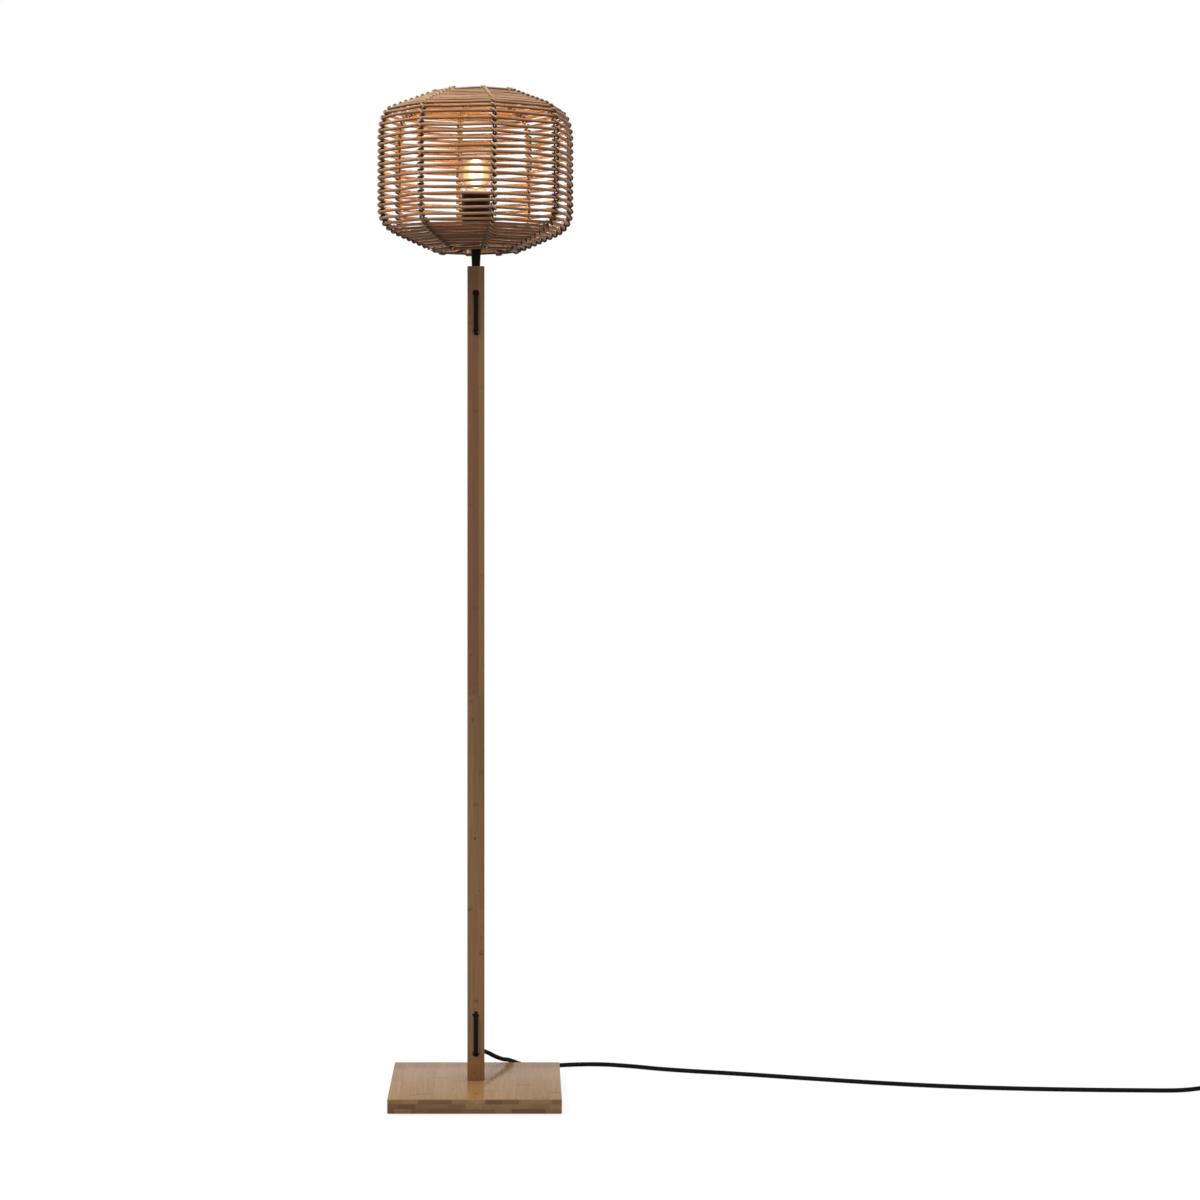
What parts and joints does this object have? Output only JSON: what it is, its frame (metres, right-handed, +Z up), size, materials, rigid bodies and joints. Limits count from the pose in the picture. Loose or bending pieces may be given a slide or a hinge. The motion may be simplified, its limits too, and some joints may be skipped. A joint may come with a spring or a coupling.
{
  "type": "rattan floor lamp",
  "caption": "Floor lamp: square bamboo pole on a square bamboo base carries a lit bulb in an open rattan cane lantern, with its cord threaded through the pole to a foot switch and plug.",
  "frame": {"origin": "point of the floor under the pole's axis, 9 mm behind the middle of the base", "axes": "+Z up along the pole, +Y away from the side that shows the cord at both ends of the pole, +X to its right"},
  "size_m": [1.4587, 0.4203, 1.4844],
  "materials": {
    "bamboo_base": "satin lacquered laminated bamboo",
    "felt_pad": "felt",
    "zinc_steel": "zinc plated",
    "brass_part": "satin",
    "bamboo_pole": "satin lacquered laminated bamboo",
    "black_steel": "satin black",
    "rattan_rim": "natural rattan wrapping",
    "rattan_rib": "natural rattan",
    "rattan_cane": "natural rattan",
    "black_bakelite": "satin black",
    "white_ceramic": "glazed ceramic",
    "black_plastic": "matte black",
    "bulb_clear_glass": "clear",
    "bulb_glow": "lit filament",
    "bulb_black_glass": "gloss",
    "cord_textile": "braided textile"
  },
  "bodies": {
    "lamp": {"base_plate": "bamboo_base", "floor_pad_1": "felt_pad", "floor_pad_2": "felt_pad", "floor_pad_3": "felt_pad", "floor_pad_4": "felt_pad", "base_bolt": "zinc_steel", "base_washer": "zinc_steel", "locating_pin": "zinc_steel", "threaded_tube": "zinc_steel", "tube_nut": "zinc_steel", "switch_screw_1": "zinc_steel", "switch_screw_2": "zinc_steel", "plug_pin_1": "zinc_steel", "plug_pin_2": "zinc_steel", "pole_insert_bottom": "brass_part", "pole_insert_top": "brass_part", "holder_screw_shell": "brass_part", "holder_centre_contact": "brass_part", "lead_wire_1": "brass_part", "lead_wire_2": "brass_part", "pole": "bamboo_pole", "stem_sleeve": "black_steel", "shade_spider": "black_steel", "shade_rim_top": "rattan_rim", "shade_rim_bottom": "rattan_rim", "shade_rib_1": "rattan_rib", "shade_rib_2": "rattan_rib", "shade_rib_3": "rattan_rib", "shade_rib_4": "rattan_rib", "shade_rib_5": "rattan_rib", "shade_rib_6": "rattan_rib", "shade_rib_7": "rattan_rib", "shade_rib_8": "rattan_rib", "canes_top": "rattan_cane", "canes_side": "rattan_cane", "canes_bottom": "rattan_cane", "holder_cap": "black_bakelite", "holder_body": "black_bakelite", "holder_insert": "white_ceramic", "switch_contact_block": "white_ceramic", "cord_grip": "black_plastic", "switch_base": "black_plastic", "switch_cover": "black_plastic", "switch_relief_in": "black_plastic", "switch_relief_out": "black_plastic", "plug_body": "black_plastic", "plug_relief": "black_plastic", "cord_tie": "black_plastic", "cord_in_pole": "cord_textile", "cord_run_to_switch": "cord_textile", "cord_run_to_coil": "cord_textile", "cord_coil": "cord_textile", "cord_run_to_plug": "cord_textile"},
    "bulb": {"bulb_contact": "bulb_black_glass", "bulb_screw_cap": "zinc_steel", "bulb_glass": "bulb_clear_glass", "bulb_stem": "bulb_clear_glass", "bulb_filaments": "bulb_glow"},
    "switch_button": {"switch_button": "black_plastic"}
  },
  "joints": [
    {"name": "bulb_unscrew", "type": "slide", "parent": "lamp", "child": "bulb", "axis": [0, 0, 1], "range_m": [0, 0.03]},
    {"name": "switch_press", "type": "slide", "parent": "lamp", "child": "switch_button", "axis": [0, 0, -1], "range_m": [0, 0.003], "stiffness_N_per_m": 600}
  ]
}
